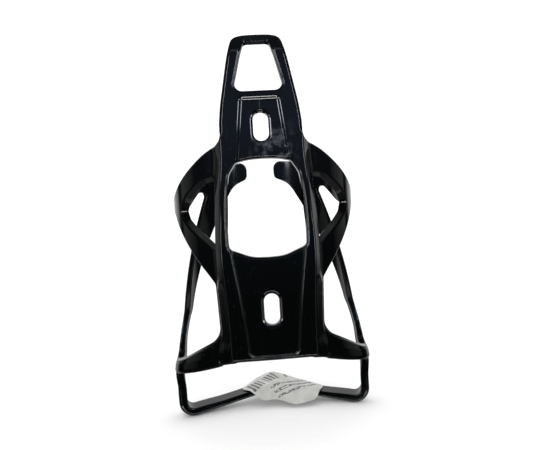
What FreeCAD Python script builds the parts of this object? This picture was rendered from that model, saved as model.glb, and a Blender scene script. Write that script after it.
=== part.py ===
"""Plastic bottle cage for a bicycle, moulded to hold one round bottle.

Frame of the part: +Z is up along the bottle, the origin is midway between the two mounting
slots on the rear mounting face (Y = 0, facing -Y towards the bicycle's tube), and +X is to
the right when the cage is seen from that tube.  The bottle's axis is parallel to Z.
The cage is mirrored about X = 0: the right-hand members are drawn and the left-hand ones
are their mirror images.
"""

import FreeCAD, Part
import Sketcher
import math
import os

Vector = FreeCAD.Vector
doc = FreeCAD.newDocument("BottleCage")

# ---------------------------------------------------------------- driving dimensions
SIZES = {
    "wall": 3.2,                # thickness of the back plate
    "pad_recess": 0.8,          # how far the upper mounting pad is set into the plate
    "slot_spacing": 64.0,       # bosses on a bicycle frame
    "slot_width": 5.4,
    "slot_length": 11.2,
    "axis_y": 40.5,             # bottle axis in front of the mounting face
    "ring_inner_radius": 36.0,
    "ring_outer_radius": 39.0,
    "flare_start_z": -38.0,     # below this the ring opens out as a cone
    "flare_slope": 0.17,        # radius gained for each millimetre of height
    "crease_x": 15.4,           # where the back plate turns towards the bottle
    "crease_inner_x": 14.0,
    "flank_x": 19.0,            # where the turned flank meets the ring
    "eye_radius": 2.0,
    "pad_top_z": 42.7,
    "plate_bottom_z": -49.0,
    "ring_top_z": 40.0,
    "ring_bottom_z": -70.0,
    "arm_turn": 50.0,           # direction that the front arm faces, degrees from +Y
    "upright_end_z": -66.0,
    "strip": 3.0,               # thickness of the arms, legs and floor strip
    "stirrup_turn": 14.7,       # how far each half of the floor strip turns forward, degrees
    "stirrup_apex_y": 51.0,
    "stirrup_depth": 7.0,
    "stirrup_reach": 44.7,      # from the apex to the outside of the upright
    "corner_radius": 7.0,
    "corner_z": -86.4,
    "apex_z": -81.6,
    "bar_half": 20.5,
    "label_half": 18.5,
    "paper": 0.35,
    "label_flap": 9.5,
}

# Corners of the outlines.  Each has a horizontal and a vertical place in its own view.
CORNERS = {
    # seen from the mounting side: X and Z
    "pad_top": (7.4, 42.7),
    "pad_foot": (9.9, 19.9),
    "hole_crown": (0.0, 20.8),
    "hole_shoulder": (11.8, 17.5),
    "hole_side_top": (13.0, 12.5),
    "hole_side_low": (12.8, -7.5),
    "hole_corner": (12.2, -10.8),
    "hole_foot": (10.0, -12.4),
    "hole_floor": (0.0, -13.6),
    "seat_top": (12.5, -12.0),
    "seat_foot": (8.0, -49.0),
    "rail_top": (12.85, 42.7),
    "rail_neck": (14.75, 31.5),
    "rail_fillet": (15.6, 29.4),
    "rail_shoulder": (19.0, 27.4),
    "plate_corner": (19.0, -50.2),
    "loop_bend": (9.9, 57.0),
    "loop_corner": (8.3, 62.6),
    "loop_top": (6.2, 64.2),
    "loop_crown": (0.0, 65.2),
    "eye_top": (4.2, 62.0),
    "eye_foot": (8.8, 44.3),
    # seen from the side: Y and Z
    "hook_back_bend": (0.0, 56.0),
    "hook_back": (1.4, 61.8),
    "hook_back_tip": (5.8, 66.6),
    "hook_front_tip": (8.4, 64.8),
    "hook_front": (4.5, 60.9),
    "hook_front_bend": (3.2, 56.0),
    "wing_root": (4.0, 29.0),
    "wing_brow": (11.5, 22.2),
    "wing_tail": (24.5, 14.4),
    "window_apex": (19.9, 4.6),
    "window_brow": (15.0, 10.7),
    "window_top": (8.8, 15.4),
    "window_root": (4.0, 16.2),
    "window_sill": (13.2, -3.6),
    "window_foot": (4.0, -12.4),
    "keel_root": (4.0, -26.5),
    "keel_mid": (13.1, -13.4),
    "keel_tail": (25.0, 0.5),
    "waist_top": (32.0, 12.0),
    "waist_low": (32.0, 4.2),
    "waist_end_top": (40.5, 12.5),
    "waist_end_low": (40.5, 5.0),
    "band_root_top": (4.0, -33.0),
    "band_fillet": (7.0, -41.5),
    "band_fillet_end": (8.4, -44.9),
    "band_mid_top": (20.0, -53.3),
    "band_end_top": (37.3, -58.2),
    "band_end_low": (37.3, -65.3),
    "band_mid_low": (16.0, -57.5),
    "band_root_low": (4.0, -50.6),
    "foot_rear": (37.3, -46.0),
    "foot_front": (43.6, -46.0),
}

# Corners of the front arm and the leg: degrees round the ring from +Y, and Z.
TURNS = {
    "arm_start_top": (98.0, 12.2),
    "arm_back": (60.0, 20.8),
    "arm_crest": (28.0, 30.1),
    "tip_top": (18.0, 30.3),
    "tip_end": (11.8, 26.8),
    "tip_low": (14.0, 21.3),
    "arch_mid": (27.0, 14.9),
    "arch_end": (35.5, 7.0),
    "fork": (50.5, 11.5),
    "fork_crown": (53.5, 14.5),
    "fork_side": (58.0, 13.8),
    "arm_belly": (70.0, 9.0),
    "arm_start_low": (98.0, 4.7),
    "shin_top": (41.5, -0.5),
    "shin_knee": (50.0, -8.5),
    "shin_mid": (66.0, -24.3),
    "shin_end": (86.0, -46.0),
    "calf_mid": (72.0, -16.7),
    "calf_end": (93.0, -46.0),
}

cells = dict(SIZES)
for corner, (across, up) in list(CORNERS.items()) + list(TURNS.items()):
    cells[corner + "_across"] = across
    cells[corner + "_up"] = up

sheet = doc.addObject("Spreadsheet::Sheet", "Dims")
for row, (alias, value) in enumerate(cells.items(), start=1):
    sheet.set("A%d" % row, alias)
    sheet.set("B%d" % row, str(value))
    sheet.setAlias("B%d" % row, alias)
doc.recompute()


def cell(alias):
    """A size as a number, with the expression that binds it to the sheet."""
    return cells[alias], "Dims." + alias


def corner(name):
    """A corner's place in its view, as two bound numbers."""
    return cell(name + "_across"), cell(name + "_up")


def turned(name):
    """A corner on the middle of the ring's wall, seen along the direction that the front arm faces."""
    angle = math.radians(cells[name + "_across"] - cells["arm_turn"])
    radius = (cells["ring_outer_radius"] + cells["ring_inner_radius"]) / 2
    formula = ("(Dims.ring_outer_radius + Dims.ring_inner_radius) / 2"
               " * sin((Dims.%s_across - Dims.arm_turn) * 1 deg)" % name)
    return (radius * math.sin(angle), formula), cell(name + "_up")


# ---------------------------------------------------------------- drawing helpers
FRONT_VIEW = FreeCAD.Rotation(Vector(1, 0, 0), 90)      # sketch x, y become X, Z
SIDE_VIEW = FreeCAD.Rotation(Vector(1, 1, 1), 120)      # sketch x, y become Y, Z
PLAN_VIEW = FreeCAD.Rotation()                          # sketch x, y become X, Y


def pin(sketch, geometry, position, point):
    """Fix one sketch point at a bound place, measured from the sketch's origin."""
    for kind, (value, formula) in zip(("DistanceX", "DistanceY"), point):
        index = sketch.addConstraint(Sketcher.Constraint(kind, -1, 1, geometry, position, value))
        sketch.setExpression("Constraints[%d]" % index, formula)


def draw(sketch, start, steps):
    """A closed outline from start.  A step is (end,) for a line or (via, end) for an arc."""
    points = [start] + [step[-1] for step in steps]
    first = None
    last = None
    for index, step in enumerate(steps):
        begin = Vector(points[index][0][0], points[index][1][0], 0)
        end = Vector(step[-1][0][0], step[-1][1][0], 0)
        if len(step) == 1:
            number = sketch.addGeometry(Part.LineSegment(begin, end))
            head, tail = 1, 2
        else:
            via = Vector(step[0][0][0], step[0][1][0], 0)
            number = sketch.addGeometry(Part.Arc(begin, via, end))
            leftward = (via - begin).cross(end - via).z > 0
            head, tail = (1, 2) if leftward else (2, 1)
        if last is not None:
            sketch.addConstraint(Sketcher.Constraint("Coincident", last[0], last[1], number, head))
        else:
            first = (number, head)
        pin(sketch, number, head, points[index])
        if len(step) == 2:
            mark = sketch.addGeometry(Part.Point(via), True)
            pin(sketch, mark, 1, step[0])
            sketch.addConstraint(Sketcher.Constraint("PointOnObject", mark, 1, number))
        last = (number, tail)
    sketch.addConstraint(Sketcher.Constraint("Coincident", last[0], last[1], first[0], first[1]))


def outline(name, rotation, start, steps, base=Vector(0, 0, 0)):
    """A free-standing sketch in one of the views."""
    sketch = doc.addObject("Sketcher::SketchObject", name)
    sketch.Placement = FreeCAD.Placement(base, rotation)
    draw(sketch, start, steps)
    return sketch


def extrusion(name, sketch, direction, forward, backward=0.0):
    """A prism of a sketch along a direction, from -backward to +forward."""
    prism = doc.addObject("Part::Extrusion", name)
    prism.Base = sketch
    prism.DirMode = "Custom"
    prism.Dir = direction
    prism.LengthFwd = forward
    prism.LengthRev = backward
    prism.Solid = True
    return prism


def common(name, *shapes):
    """The solid that several shapes share."""
    result = doc.addObject("Part::MultiCommon", name)
    result.Shapes = list(shapes)
    return result


def cut(name, base, tool):
    result = doc.addObject("Part::Cut", name)
    result.Base = base
    result.Tool = tool
    return result


def fuse(name, *shapes):
    result = doc.addObject("Part::MultiFuse", name)
    result.Shapes = list(shapes)
    result.Refine = True
    return result


def mirrored(name, source):
    """The left-hand twin of a right-hand member."""
    twin = doc.addObject("Part::Mirroring", name)
    twin.Source = source
    twin.Normal = Vector(1, 0, 0)
    return twin


def box(name, corner_low, size):
    """A box whose low corner and size are given as six expressions."""
    block = doc.addObject("Part::Box", name)
    for axis, formula in zip("xyz", corner_low):
        block.setExpression("Placement.Base." + axis, formula)
    for side, formula in zip(("Length", "Width", "Height"), size):
        block.setExpression(side, formula)
    return block


nodes = {}


def node(name, shape):
    """Keep a finished member under the name that its file will have."""
    shape.Label = name
    nodes[name] = shape
    return shape


def both_sides(name, shape):
    node("right_" + name, shape)
    node("left_" + name, mirrored("Left" + name.title().replace("_", ""), shape))


# ---------------------------------------------------------------- stock that members are cut from
def drum(name, radius):
    """A solid of revolution about the bottle's axis: a cylinder that flares out at its foot."""
    upper = doc.addObject("Part::Cylinder", name + "Upper")
    upper.setExpression("Radius", "Dims." + radius)
    upper.setExpression("Height", "Dims.ring_top_z - Dims.flare_start_z")
    upper.setExpression("Placement.Base.y", "Dims.axis_y")
    upper.setExpression("Placement.Base.z", "Dims.flare_start_z")
    lower = doc.addObject("Part::Cone", name + "Lower")
    lower.setExpression("Radius2", "Dims." + radius)
    lower.setExpression("Radius1", "Dims.%s + Dims.flare_slope * (Dims.flare_start_z - Dims.ring_bottom_z)" % radius)
    lower.setExpression("Height", "Dims.flare_start_z - Dims.ring_bottom_z")
    lower.setExpression("Placement.Base.y", "Dims.axis_y")
    lower.setExpression("Placement.Base.z", "Dims.ring_bottom_z")
    return fuse(name, upper, lower)


ring = cut("Ring", drum("RingOuter", "ring_outer_radius"), drum("RingInner", "ring_inner_radius"))

ring_y_at_flank = {}
for side in ("outer", "inner"):
    radius = cells["ring_%s_radius" % side]
    ring_y_at_flank[side] = (
        cells["axis_y"] - math.sqrt(radius ** 2 - cells["flank_x"] ** 2),
        "Dims.axis_y - sqrt(Dims.ring_%s_radius ^ 2 - Dims.flank_x ^ 2)" % side)

zero = (0.0, "0")
back_section = outline(
    "BackSection", PLAN_VIEW, (zero, zero),
    [((cell("crease_x"), zero),),
     ((cell("flank_x"), ring_y_at_flank["outer"]),),
     ((cell("flank_x"), ring_y_at_flank["inner"]),),
     ((cell("crease_inner_x"), cell("wall")),),
     ((zero, cell("wall")),),
     ((zero, zero),)])
back_stock = extrusion("BackStock", back_section, Vector(0, 0, 1), 50, 60)


# ---------------------------------------------------------------- back plate
def body_with_pad(name, start, steps, length, placement=None):
    """A PartDesign body whose first feature pads an outline drawn on its XZ plane."""
    body = doc.addObject("PartDesign::Body", name)
    plane = next(o for o in body.Origin.OriginFeatures if o.Role == "XZ_Plane")
    sketch = body.newObject("Sketcher::SketchObject", name + "Outline")
    sketch.AttachmentSupport = (plane, [""])
    sketch.MapMode = "FlatFace"
    draw(sketch, start, steps)
    pad = body.newObject("PartDesign::Pad", name + "Pad")
    pad.Profile = sketch
    pad.Reversed = True
    pad.setExpression("Length", length)
    return body, plane, pad


def slot_pocket(body, plane, name, side):
    """An obround slot cut through a mounting pad, half the boss spacing above or below the origin."""
    sketch = body.newObject("Sketcher::SketchObject", name + "Sketch")
    sketch.AttachmentSupport = (plane, [""])
    sketch.MapMode = "FlatFace"
    half_width = cells["slot_width"] / 2
    half_length = cells["slot_length"] / 2
    middle = side * cells["slot_spacing"] / 2
    middle_formula = "%d * Dims.slot_spacing / 2" % side

    def height(offset, formula):
        return middle + offset, middle_formula + formula

    right = (half_width, "Dims.slot_width / 2")
    left = (-half_width, "-Dims.slot_width / 2")
    high = height(half_length - half_width, " + (Dims.slot_length - Dims.slot_width) / 2")
    low = height(half_width - half_length, " - (Dims.slot_length - Dims.slot_width) / 2")
    crown = height(half_length, " + Dims.slot_length / 2")
    foot = height(-half_length, " - Dims.slot_length / 2")
    draw(sketch, (left, low),
         [((zero, foot), (right, low)), ((right, high),), ((zero, crown), (left, high)), ((left, low),)])
    pocket = body.newObject("PartDesign::Pocket", name)
    pocket.Profile = sketch
    pocket.Type = "ThroughAll"
    pocket.Midplane = True


def mirror_point(point):
    """The same corner on the left."""
    (across, formula), up = point
    return (-across, "-(" + formula + ")"), up


def upper_mount_pad():
    """The trapezium that carries the upper slot, set back into the plate."""
    top, foot, crown = corner("pad_top"), corner("pad_foot"), corner("hole_crown")
    body, plane, pad = body_with_pad(
        "UpperMountPad", mirror_point(top),
        [(mirror_point(foot),), (crown, foot), (top,), (mirror_point(top),)],
        "Dims.wall - Dims.pad_recess")
    slot_pocket(body, plane, "UpperSlot", 1)
    body.setExpression("Placement.Base.y", "Dims.pad_recess")
    node("upper_mount_pad", body)


def lower_mount_pad():
    """The lower seat, outlined by a fine groove, with the lower slot."""
    top, corner_low, floor = corner("seat_top"), corner("hole_foot"), corner("hole_floor")
    foot = corner("seat_foot")
    body, plane, pad = body_with_pad(
        "LowerMountPad", mirror_point(foot),
        [(foot,), (top,), (corner_low,), (floor, mirror_point(corner_low)), (mirror_point(top),),
         (mirror_point(foot),)],
        "Dims.wall")
    slot_pocket(body, plane, "LowerSlot", -1)
    node("lower_mount_pad", body)


def rail():
    """The spine beside the pads and the central opening, turned towards the bottle outside."""
    face = outline(
        "RailFace", FRONT_VIEW, corner("pad_top"),
        [(corner("pad_foot"),),
         (corner("hole_shoulder"), corner("hole_side_top")),
         (corner("hole_side_low"),),
         (corner("hole_corner"), corner("hole_foot")),
         (corner("seat_top"),),
         (corner("seat_foot"),),
         ((cell("crease_x"), cell("plate_bottom_z")),),
         (corner("plate_corner"),),
         (corner("rail_shoulder"),),
         (corner("rail_fillet"), corner("rail_neck")),
         (corner("rail_top"),),
         (corner("pad_top"),)])
    prism = extrusion("RailPrism", face, Vector(0, 1, 0), 15, 5)
    both_sides("rail", common("RightRail", back_stock, prism))


def top_loop():
    """The open loop above the upper pad, whose top bends forward to hook the bottle's neck."""
    eye_top, eye_foot = corner("eye_top"), corner("eye_foot")
    body, plane, pad = body_with_pad(
        "LoopPlate", mirror_point(corner("rail_top")),
        [(corner("rail_top"),), (corner("loop_bend"),),
         (corner("loop_corner"), corner("loop_top")),
         (corner("loop_crown"), mirror_point(corner("loop_top"))),
         (mirror_point(corner("loop_corner")), mirror_point(corner("loop_bend"))),
         (mirror_point(corner("rail_top")),)],
        "20")
    eye = body.newObject("Sketcher::SketchObject", "EyeSketch")
    eye.AttachmentSupport = (plane, [""])
    eye.MapMode = "FlatFace"
    draw(eye, mirror_point(eye_foot),
         [(eye_foot,), (eye_top,), (mirror_point(eye_top),), (mirror_point(eye_foot),)])
    pocket = body.newObject("PartDesign::Pocket", "Eye")
    pocket.Profile = eye
    pocket.Type = "ThroughAll"
    pocket.Midplane = True
    doc.recompute()
    corners = doc.addObject("PartDesign::Fillet", "EyeCorners")
    body.addObject(corners)
    corners.Base = (pocket, eye_corner_names(pocket))
    corners.setExpression("Radius", "Dims.eye_radius")
    body.Tip = corners
    hook_section = outline(
        "HookSection", SIDE_VIEW, (zero, cell("pad_top_z")),
        [((cell("wall"), cell("pad_top_z")),),
         (corner("hook_front_bend"),),
         (corner("hook_front"), corner("hook_front_tip")),
         (corner("hook_back_tip"),),
         (corner("hook_back"), corner("hook_back_bend")),
         ((zero, cell("pad_top_z")),)])
    hook = extrusion("Hook", hook_section, Vector(1, 0, 0), 20, 20)
    node("top_loop", common("TopLoop", body, hook))


def eye_corner_names(feature):
    """Names of the four straight edges through the wall at the eye's corners."""
    places = [corner("eye_top"), corner("eye_foot")]
    names = []
    for number, edge in enumerate(feature.Shape.Edges, start=1):
        middle = edge.CenterOfMass
        through = edge.Curve.TypeId == "Part::GeomLine" and edge.BoundBox.YLength > cells["wall"] / 2
        if through and any(abs(abs(middle.x) - across[0]) < 0.1 and abs(middle.z - up[0]) < 0.1
                           for across, up in places):
            names.append("Edge%d" % number)
    return names


# ---------------------------------------------------------------- wings, arms and legs
def side_member(name, start, steps, stock):
    """A member drawn in the side view and cut out of a ring, right of the back plate."""
    base = Vector(cells["flank_x"], 0, 0)
    face = outline(name + "Face", SIDE_VIEW, start, steps, base)
    prism = extrusion(name + "Prism", face, Vector(1, 0, 0), 30)
    return common(name, stock, prism)


def wings():
    """Two branches that leave the plate and close round a window, and the waist they form."""
    both_sides("upper_wing", side_member(
        "RightUpperWing", corner("wing_root"),
        [(corner("wing_brow"), corner("wing_tail")),
         (corner("window_apex"),),
         (corner("window_brow"), corner("window_top")),
         (corner("window_root"),),
         (corner("wing_root"),)], ring))
    both_sides("lower_wing", side_member(
        "RightLowerWing", corner("keel_root"),
        [(corner("window_foot"),),
         (corner("window_sill"), corner("window_apex")),
         (corner("keel_tail"),),
         (corner("keel_mid"), corner("keel_root"))], ring))
    both_sides("side_bridge", side_member(
        "RightSideBridge", corner("window_apex"),
        [(corner("wing_tail"),),
         (corner("waist_top"), corner("waist_end_top")),
         (corner("waist_end_low"),),
         (corner("waist_low"), corner("keel_tail")),
         (corner("window_apex"),)], ring))


def ring_member(name, start, steps):
    """A member drawn as seen along the arm's direction and cut out of the ring."""
    angle = math.radians(cells["arm_turn"])
    outward = Vector(math.sin(angle), math.cos(angle), 0)
    along = Vector(math.cos(angle), -math.sin(angle), 0)
    rotation = FreeCAD.Rotation(along, Vector(0, 0, 1), -outward)
    face = outline(name + "Face", rotation, start, steps, Vector(0, cells["axis_y"], 0))
    prism = extrusion(name + "Prism", face, outward, 60)
    return prism


def arms_and_legs():
    """The sprung arm that reaches round the front, and the leg that runs down from it."""
    arm_prism = ring_member(
        "Arm", turned("arm_start_top"),
        [(turned("arm_back"), turned("arm_crest")),
         (turned("tip_top"),),
         (turned("tip_end"), turned("tip_low")),
         (turned("arch_mid"), turned("arch_end")),
         (turned("fork"),),
         (turned("fork_crown"), turned("fork_side")),
         (turned("arm_belly"), turned("arm_start_low")),
         (turned("arm_start_top"),)])
    front = box("FrontHalf", ("0", "Dims.axis_y", "Dims.ring_bottom_z"),
                ("50", "50", "Dims.ring_top_z - Dims.ring_bottom_z"))
    both_sides("front_arm", common("RightFrontArm", ring, arm_prism, front))
    leg_prism = ring_member(
        "Leg", turned("arch_end"),
        [(turned("shin_top"), turned("shin_knee")),
         (turned("shin_mid"), turned("shin_end")),
         (turned("calf_end"),),
         (turned("calf_mid"), turned("fork")),
         (turned("arch_end"),)])
    both_sides("leg", common("RightLeg", ring, leg_prism))


def base_bands():
    """The band that leaves the foot of the plate and meets the upright on each side."""
    both_sides("base_band", side_member(
        "RightBaseBand", corner("band_root_top"),
        [(corner("band_fillet"), corner("band_fillet_end")),
         (corner("band_mid_top"), corner("band_end_top")),
         (corner("band_end_low"),),
         (corner("band_mid_low"), corner("band_root_low")),
         (corner("band_root_top"),)], ring))


# ---------------------------------------------------------------- uprights, floor strip, label
def uprights():
    """The straight foot of each leg, which leans out with the flare of the ring."""
    rear, front = corner("foot_rear"), corner("foot_front")
    low = cell("upright_end_z")
    both_sides("upright", side_member(
        "RightUpright", rear,
        [((rear[0], low),), ((front[0], low),), (front,), (rear,)], ring))


def worked_out(point):
    """A place that Python has worked out from the sheet's sizes."""
    return tuple((value, "%.4f" % value) for value in point)


STIRRUP_PLACE = FreeCAD.Placement(
    Vector(0, cells["stirrup_apex_y"], 0),
    FreeCAD.Rotation(Vector(0, 0, 1), -cells["stirrup_turn"]))
BAR_FALL = (cells["apex_z"] - cells["corner_z"]) / (cells["stirrup_reach"] - cells["corner_radius"])


def floor_strip():
    """The stirrup under the bottle: a rounded corner each side and a bar that peaks in the middle."""
    reach, strip, radius = cells["stirrup_reach"], cells["strip"], cells["corner_radius"]
    bend_z = cells["corner_z"] + radius
    foot_angle = -math.pi / 2 - math.atan(BAR_FALL)

    def on_corner(r, angle):
        return worked_out((reach - radius + r * math.cos(angle), bend_z + r * math.sin(angle)))

    def at_apex(point):
        return worked_out((0.0, point[1][0] + point[0][0] * BAR_FALL))

    top = cell("upright_end_z")
    outer = cell("stirrup_reach")
    inner = (reach - strip, "Dims.stirrup_reach - Dims.strip")
    bend = (bend_z, "Dims.corner_z + Dims.corner_radius")
    low_outer = on_corner(radius, foot_angle)
    low_inner = on_corner(radius - strip, foot_angle)
    body, plane, pad = body_with_pad(
        "Stirrup", (inner, top),
        [((outer, top),), ((outer, bend),),
         (on_corner(radius, foot_angle / 2), low_outer),
         (at_apex(low_outer),),
         (at_apex(low_inner),),
         (low_inner,),
         (on_corner(radius - strip, foot_angle / 2), (inner, bend)),
         ((inner, top),)],
        "Dims.stirrup_depth")
    pad.Midplane = True
    body.Placement = STIRRUP_PLACE
    right = box("RightOfBar", ("Dims.bar_half", "0", "-95"), ("30", "80", "40"))
    middle = box("MiddleOfBar", ("0", "0", "-95"), ("Dims.bar_half", "80", "40"))
    both_sides("floor_corner", common("RightFloorCorner", body, right))
    half_bar = common("RightHalfBar", body, middle)
    node("floor_bar", fuse("FloorBar", half_bar, mirrored("LeftHalfBar", half_bar)))
    return half_bar, at_apex(low_outer)[1][0], at_apex(low_inner)[1][0]


def price_label(half_bar, apex_low, apex_high):
    """A paper label folded over the bar, its two ends stuck together in front."""
    paper = cells["paper"]
    past_middle = 4.0
    reach = cells["label_half"] + past_middle

    def sloped(name, low, high, length):
        """A slab that follows the bar's slope between two heights at the apex."""
        body, plane, pad = body_with_pad(
            name, worked_out((-past_middle, low + past_middle * BAR_FALL)),
            [(worked_out((reach, low - reach * BAR_FALL)),),
             (worked_out((reach, high - reach * BAR_FALL)),),
             (worked_out((-past_middle, high + past_middle * BAR_FALL)),),
             (worked_out((-past_middle, low + past_middle * BAR_FALL)),)], length)
        body.Placement = STIRRUP_PLACE
        return body, pad

    wrap, pad = sloped("LabelWrap", apex_low - paper, apex_high + paper,
                       "Dims.stirrup_depth + 2 * Dims.paper")
    pad.Midplane = True
    flap, pad = sloped("LabelFlap", apex_high - paper, apex_high + paper,
                       "Dims.stirrup_depth / 2 + Dims.label_flap + 4")
    keep = box("LabelWidth", ("0", "0", "-95"),
               ("Dims.label_half", "Dims.stirrup_apex_y + Dims.label_flap + 2", "40"))
    right = common("RightLabelHalf", fuse("LabelSolid", wrap, flap), keep)
    hollow = cut("RightLabel", right, half_bar)
    node("price_label", fuse("PriceLabel", hollow, mirrored("LeftLabel", hollow)))


upper_mount_pad()
lower_mount_pad()
rail()
top_loop()
wings()
arms_and_legs()
base_bands()
uprights()
price_label(*floor_strip())

# ---------------------------------------------------------------- check and write
doc.recompute()
for thing in doc.Objects:
    if "Invalid" in thing.State or "Error" in thing.State:
        raise RuntimeError("%s failed: %s" % (thing.Name, thing.State))

os.makedirs("parts", exist_ok=True)
for name, shape_object in nodes.items():
    shape = shape_object.Shape
    if shape.isNull() or not shape.isValid() or not shape.Solids:
        raise RuntimeError(name + " has no valid solid")
    shape.exportStep(os.path.join("parts", name + ".step"))
    size = shape.BoundBox
    print("%-18s solids %d volume %8.1f  X %6.1f..%6.1f Y %5.1f..%5.1f Z %6.1f..%6.1f" % (
        name, len(shape.Solids), shape.Volume, size.XMin, size.XMax, size.YMin, size.YMax,
        size.ZMin, size.ZMax))
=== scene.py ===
"""Looks for the bottle cage: a moulded gloss-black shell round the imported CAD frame.

The cage is one developed sheet.  Every outline is drawn flat, in millimetres: "across" runs
from the centre line round the outside of the wall, and "up" is the height.  The flat sheet is
meshed with rounded edges, wrapped on to the cage's section, and divided into the named members.
"""

import math

import bpy
import numpy as np
from mathutils import Euler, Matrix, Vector
from mathutils.geometry import delaunay_2d_cdt


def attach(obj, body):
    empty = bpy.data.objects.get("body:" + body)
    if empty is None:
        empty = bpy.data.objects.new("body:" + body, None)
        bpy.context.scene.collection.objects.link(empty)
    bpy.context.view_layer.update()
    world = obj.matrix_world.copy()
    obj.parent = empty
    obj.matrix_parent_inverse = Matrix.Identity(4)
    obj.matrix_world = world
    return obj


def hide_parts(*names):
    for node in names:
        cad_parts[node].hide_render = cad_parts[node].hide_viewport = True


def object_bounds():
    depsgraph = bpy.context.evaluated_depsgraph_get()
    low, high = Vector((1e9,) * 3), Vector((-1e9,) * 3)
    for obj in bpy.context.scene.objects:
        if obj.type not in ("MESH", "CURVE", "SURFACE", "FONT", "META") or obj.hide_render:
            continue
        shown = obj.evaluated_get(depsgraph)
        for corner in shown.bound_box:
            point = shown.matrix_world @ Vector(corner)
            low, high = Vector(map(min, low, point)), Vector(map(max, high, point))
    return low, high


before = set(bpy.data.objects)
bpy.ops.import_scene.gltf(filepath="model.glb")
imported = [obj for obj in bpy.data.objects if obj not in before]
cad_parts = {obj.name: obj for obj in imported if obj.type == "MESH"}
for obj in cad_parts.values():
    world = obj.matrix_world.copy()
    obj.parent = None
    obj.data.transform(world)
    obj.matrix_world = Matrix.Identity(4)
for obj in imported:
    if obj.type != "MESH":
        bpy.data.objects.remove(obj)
cad_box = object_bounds()
MM = 0.001

# ---------------- driving sizes, in millimetres
AXIS_Y = 40.5               # the bottle's axis in front of the mounting face
RING = 39.0                 # outside radius of the wings and arms
CREASE_X = 15.4             # where the back plate turns towards the bottle
FLANK_TURN = 63.3           # how far it turns there, degrees
CREASE_RADIUS = 0.8
FLANK_RADIUS = 3.0          # the hollow where the flank runs into the ring
PLATE_WALL = 3.2
WING_WALL = 3.0
CROWN_WALL = 2.1            # the top loop thins towards its crown
UPRIGHT_EXTRA = 0.6         # the uprights and floor corners are this much thicker
EDGE_LEVELS = (0.1, 0.22, 0.36, 0.52, 0.7, 0.9, 1.1, 1.3, 1.5, 1.75)
EDGE_BAND = EDGE_LEVELS[-1]
HOOK_START = 56.0           # above this the top loop bends forward
HOOK_RADIUS = 12.6
FLARE_START = -38.0         # below this the ring opens out
FLARE_SLOPE = 0.17
STRIP_START = -66.0         # below this the uprights become the floor strip
STIRRUP_REACH = 44.7        # from the middle of the floor bar to the outside of the upright
STIRRUP_TURN = math.radians(14.7)
STIRRUP_APEX_Y = 51.0
STIRRUP_WIDEN = 1.2         # the floor strip is this much wider than the upright
CORNER_RADIUS = 7.0
CORNER_Z = -86.4
APEX_Z = -81.6              # underside of the floor bar at its middle
SLOT_Z = 32.0               # the slots' middles are this far above and below the origin
SLOT_HALF_WIDTH = 2.7
SLOT_HALF_LENGTH = 5.6
UPPER_SLOT_HALF_LENGTH = 5.1
RECESS = 0.8                # the upper pad is set in by this much
RECESS_RUN = 2.1            # width of the step down into the recess
GROOVE_DEPTH = 0.24
GROOVE_HALF_WIDTH = 0.5
WINDOW_SHELF = 1.1          # the window is this much smaller on the inside
GRID = 1.5                  # spacing of the mesh's inner points
TINY = 1e-4                 # closer than this counts as touching, on the flat sheet
CENTRED = 2e-3              # closer than this to X = 0 counts as on the centre line


def smooth(t):
    """0 to 1 with level ends."""
    t = np.clip(t, 0.0, 1.0)
    return t * t * (3.0 - 2.0 * t)


# ---------------- the section that the sheet wraps
def fillet_on_ring():
    """Where the flank leaves its straight run for the ring: its length, and its angle on the ring."""
    turn = math.radians(FLANK_TURN)
    along = np.array([math.cos(turn), math.sin(turn)])
    outside = np.array([math.sin(turn), -math.cos(turn)])
    start = np.array([CREASE_X, 0.0]) + outside * FLANK_RADIUS - np.array([0.0, AXIS_Y])
    reach = RING + FLANK_RADIUS
    b = start @ along
    run = -b - math.sqrt(b * b - start @ start + reach * reach)
    centre = start + along * run
    return run, math.atan2(centre[0], -centre[1])


def section_pieces():
    """The section as runs of steady curvature: length and radius, leftward turns being positive."""
    turn = math.radians(FLANK_TURN)
    tangent = CREASE_RADIUS * math.tan(turn / 2)
    run, ring_angle = fillet_on_ring()
    return [(CREASE_X - tangent, 0.0),
            (CREASE_RADIUS * turn, CREASE_RADIUS),
            (run - tangent, 0.0),
            (FLANK_RADIUS * (turn - ring_angle), -FLANK_RADIUS),
            (RING * math.pi, RING)]


SECTION = section_pieces()
RING_START = sum(length for length, radius in SECTION[:-1])
RING_START_ANGLE = fillet_on_ring()[1]
FLANK_START = SECTION[0][0]


def section(across):
    """Plan position and heading of points along the section, by adding up its pieces."""
    x = np.zeros_like(across)
    y = np.zeros_like(across)
    heading = np.zeros_like(across)
    done = 0.0
    for length, radius in SECTION:
        run = np.clip(across - done, 0.0, length)
        if radius:
            turned = heading + run / radius
            x += radius * (np.sin(turned) - np.sin(heading))
            y -= radius * (np.cos(turned) - np.cos(heading))
            heading = turned
        else:
            x += run * np.cos(heading)
            y += run * np.sin(heading)
        done += length
    return x, y, heading


def at_turn(degrees):
    """Distance across to a place on the ring, given as a turn from straight ahead."""
    return RING_START + RING * (math.pi - math.radians(degrees) - RING_START_ANGLE)


STRIP_MIDDLE = at_turn(90.2)
CORNER_FALL = math.atan((APEX_Z - CORNER_Z) / (STIRRUP_REACH - CORNER_RADIUS))
STRAIGHT_RUN = STRIP_START - CORNER_Z - CORNER_RADIUS
CORNER_RUN = CORNER_RADIUS * (math.pi / 2 + CORNER_FALL)
BAR_START = STIRRUP_REACH - CORNER_RADIUS - CORNER_RADIUS * math.sin(CORNER_FALL)
BAR_RUN = BAR_START / math.cos(CORNER_FALL)
STRIP_LENGTH = STRAIGHT_RUN + CORNER_RUN + BAR_RUN


def hook_height(z):
    """Flat height of a real height on the hook."""
    return HOOK_START + HOOK_RADIUS * math.asin((z - HOOK_START) / HOOK_RADIUS)


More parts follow.
